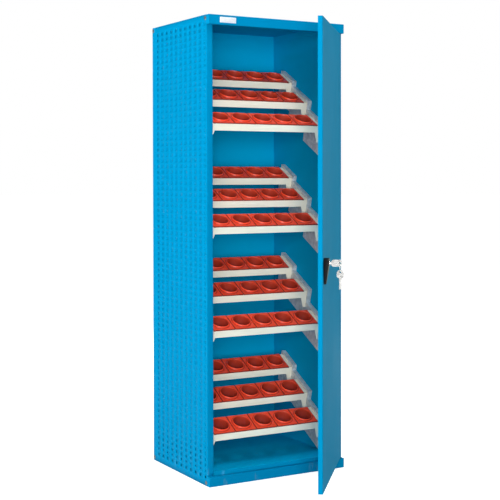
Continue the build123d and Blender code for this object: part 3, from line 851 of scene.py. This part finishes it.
def lever_shape():
    """Rings from the middle of the back, up the side, over the shoulder and down into the recess."""
    tangent = np.arcsin((hub - tail) / reach)
    angle = np.concatenate([np.linspace(-tangent, pi + tangent, hub_points),
                            np.linspace(pi + tangent, 2 * pi - tangent, tail_points)])
    on_hub = np.arange(len(angle)) < hub_points
    normal = np.stack([np.cos(angle), np.sin(angle)], axis=-1)
    centre = np.where(on_hub[:, None], [0.0, 0.0], [0.0, -reach])
    radius = np.where(on_hub, hub, tail)[:, None]

    def inset(by):
        return centre + (radius - by) * normal

    def level(flat, height):
        return np.column_stack([flat, np.full(len(flat), height)])

    def front(flat, sunk=0.0):
        return np.column_stack([flat, lever_depth(flat[:, 1]) - sunk])

    rim = recess_rim * normal
    rings = [level(0 * normal, 0.0), level(inset(small_edge), 0.0), level(inset(0.0), small_edge)]
    for step in np.linspace(0.0, pi / 2, 7):
        rings.append(front(inset(shoulder * (1 - cos(step))), shoulder * (1 - sin(step))))
    for share in (0.3, 0.6, 0.85, 1.0):
        rings.append(front(inset(shoulder) + (rim - inset(shoulder)) * share))
    rings.append(np.column_stack([recess * normal, lever_depth(rim[:, 1]) - small_edge]))
    rings += [level(recess * normal, recess_floor), level(0 * normal, recess_floor)]
    return grid(np.array(rings) * mm, close_columns=True)


points, faces = lever_shape()
lever = placed(points, lever_place, door_across, door_up, door_out), faces
add_piece("swing_lever", lever, "handle", handle_plastic, ["handle_lever"], smooth=50.0)
print("lever", len(faces), "faces")

# %% [markdown]
# ## The barrel and the key ring
#
# The barrel is a turned chrome sleeve with a softened rim, and the plug turns inside it. The ring is a
# split ring: flat wire wound twice, where the first turn steps up to the second on one side. Its section
# is a small rounded oblong that is carried along the two turns, and its height changes in the step.

# %% Barrel and split ring
barrel_profile = [(0.0, 10.0), (6.1, 10.0), (6.1, 23.6), (6.4, 24.0), (8.9, 24.0), (9.5, 23.8), (9.9, 23.3),
                  (10.0, 22.6), (10.0, 8.2), (0.0, 8.2)]
barrel = turned(barrel_profile, lever_place, door_across, door_up, door_out, steps=48)
add_piece("chrome_barrel", barrel, "handle", chrome, ["lock_barrel"], smooth=30.0)


def split_ring(middle, radius, half, corner, layer, stations=144):
    """Two turns of oblong wire. The height steps from -layer to layer in 40 degrees at half way.

    A point of the section at (x, y) goes to the radius plus x, and to that height plus y.
    """
    half_step = radians(20.0)
    along = np.linspace(half_step, 4 * pi - half_step, stations)
    height = layer * np.clip((along - 2 * pi) / half_step, -1.0, 1.0)
    section = outline(*half, corner, np.linspace(0.0, 2 * pi, 12, endpoint=False))
    out_by = radius + section[:, 0]
    local = np.stack([out_by * np.cos(along[:, None]), out_by * np.sin(along[:, None]),
                      height[:, None] + section[:, 1] + 0 * out_by], axis=-1)
    ends = local[[0, -1]].mean(axis=1, keepdims=True) + 0 * local[[0, -1]]
    points, faces = grid(np.vstack([ends[:1], local, ends[1:]]) * mm, close_columns=True)
    return placed(points, middle, door_across, door_up, door_out), faces


ring_radius, wire_layer = 18.0, 0.5
wire_half, wire_corner = (0.95, 0.45), 0.3
ring_middle = np.array(ring_joint["pos_m"]) - ring_radius * mm * door_up
ring = split_ring(ring_middle, ring_radius, wire_half, wire_corner, wire_layer)
add_piece("split_ring", ring, "ring", steel, ["key_ring"], smooth=50.0)
print("barrel and ring made")

# %% [markdown]
# ## Studio light
#
# In the photograph even the deepest tray is bright, and the back wall is lit right up to the roof. So
# the key light is a softbox no higher than the cabinet itself, seven metres away in front and to the
# left, where the open door doesn't stand in its way. The edge light, a little further left, throws a soft
# shade of the left wall across the back wall, and a low one reaches the cabinet's floor. One at each side
# makes the outer side glow and the door's face shine. The right one is slightly green, for the teal tone
# of that face. One overhead lifts the trays, and one behind is there for views from the rear. In a blue
# coat the reflection of a white light looks lilac, so the edge, left and rear ones light the paint but
# are kept out of its gloss.
#
# The holes of the perforation are only a little darker than the skin round them, so a faint light is
# hidden in the gap of each double side. It shines on the inner wall, away from the holes. The floor is one
# large pale disc. It looks white, as a lit backdrop does, but only to the camera, so that it doesn't shine
# into the cabinet from below.

# %% Floor, softboxes and surround
def studio_floor(radius=80.0, rings=12, turns=96):
    """A flat disc a hair below the ground: rings of points, whose radius grows with their number squared."""
    angle = np.linspace(0.0, 2 * pi, turns, endpoint=False)
    ring = np.linspace(0.0, 1.0, rings) ** 2 * radius
    x = ring[:, None] * np.cos(angle)
    y = ring[:, None] * np.sin(angle)
    points, faces = grid(np.stack([x, y, 0 * x - 0.5 * mm], axis=-1), close_columns=True)
    mesh = bpy.data.meshes.new("floor")
    mesh.from_pydata(points.tolist(), [], faces.tolist())
    floor = bpy.data.objects.new("floor", mesh)
    bpy.context.scene.collection.objects.link(floor)
    paint = Paint("floor_paint", Specular_IOR_Level=0.1, Emission_Strength=1.0)
    cloud = paint.noise(1.5, 2.0)
    distance = paint.node("VectorMath", {"operation": "LENGTH"}, {0: paint.place}, "Value")
    far = paint.ramp(distance, 1.2, 7.0)
    seen = paint.node("LightPath", {}, {}, "Is Camera Ray")
    glow = paint.blend((0.78, 0.78, 0.78), (1.0, 1.0, 1.0), far)
    paint.surface(Base_Color=paint.blend((0.60, 0.60, 0.60), (0.57, 0.57, 0.57), cloud),
                  Emission_Color=paint.blend((0.0, 0.0, 0.0), glow, seen),
                  Roughness=0.65 + 0.1 * cloud)
    floor.data.materials.append(paint.material)
    return floor


def area_light(name, watts, wide, tall, place, aim, mirrored):
    """A rectangle of light at a place, turned by the angles of aim. The camera doesn't see it."""
    light = bpy.data.lights.new(name, "AREA")
    light.shape = "RECTANGLE"
    light.energy = watts
    light.size = wide
    light.size_y = tall
    box = bpy.data.objects.new(name, light)
    box.location = place
    box.rotation_euler = aim
    box.visible_camera = False
    box.visible_glossy = mirrored
    bpy.context.scene.collection.objects.link(box)
    return box


def softbox(name, watts, turn, height, distance, wide, tall, mirrored=True):
    """A square of light that faces the cabinet: turn is 0 from the front and positive from the left.

    A light that isn't mirrored lights paint, but shows in no gloss or metal.
    """
    turn = radians(turn)
    place = (-distance * sin(turn), -distance * cos(turn), height)
    return area_light(name, watts, wide, tall, place, (pi / 2, 0.0, -turn), mirrored)


def gap_light(side, watts):
    """A hidden light in the gap of a double side, behind the perforation, that faces the inner wall."""
    tall, deep = 1.80, 0.52
    middle = (side * (panel_high.x - 2 * sheet), 0.02, 1.04)
    return area_light("gap", watts, tall, deep, middle, (0.0, side * pi / 2, 0.0), False)


def surround(level, shown=1.0):
    """Even light from all round. The camera sees it as white."""
    world = bpy.data.worlds.new("surround")
    world.use_nodes = True
    bpy.context.scene.world = world
    tree = world.node_tree
    path = tree.nodes.new("ShaderNodeLightPath")
    choose = tree.nodes.new("ShaderNodeMix")
    tree.links.new(path.outputs["Is Camera Ray"], choose.inputs["Factor"])
    choose.inputs["A"].default_value = level
    choose.inputs["B"].default_value = shown
    light = tree.nodes["Background"]
    light.inputs["Color"].default_value = (1.0, 1.0, 1.0, 1.0)
    tree.links.new(choose.outputs["Result"], light.inputs["Strength"])
    return world


studio_floor()
# After the name come the watts and the turn in degrees, then in metres the height and distance of the
# middle and the width and height of the box
softbox("key", 236.0, 24.0, 1.6, 7.0, 1.5, 2.0)
softbox("edge", 68.0, 36.0, 1.6, 7.0, 1.1, 2.0, mirrored=False)
softbox("left", 262.0, 88.0, 1.8, 4.5, 2.5, 2.4, mirrored=False)
softbox("low", 46.0, 26.0, 0.5, 6.0, 1.6, 0.9)
right = softbox("right", 165.0, -95.0, 1.4, 4.5, 2.6, 2.7)
right.data.color = (0.75, 1.0, 0.86)
softbox("rear", 160.0, 180.0, 1.6, 5.0, 2.0, 2.0, mirrored=False)
overhead = softbox("overhead", 70.0, 0.0, 4.0, 1.5, 2.0, 2.0)
overhead.rotation_euler = (radians(20.0), 0.0, 0.0)
for side in (-1, 1):
    gap_light(side, 2.6)
surround(0.04)
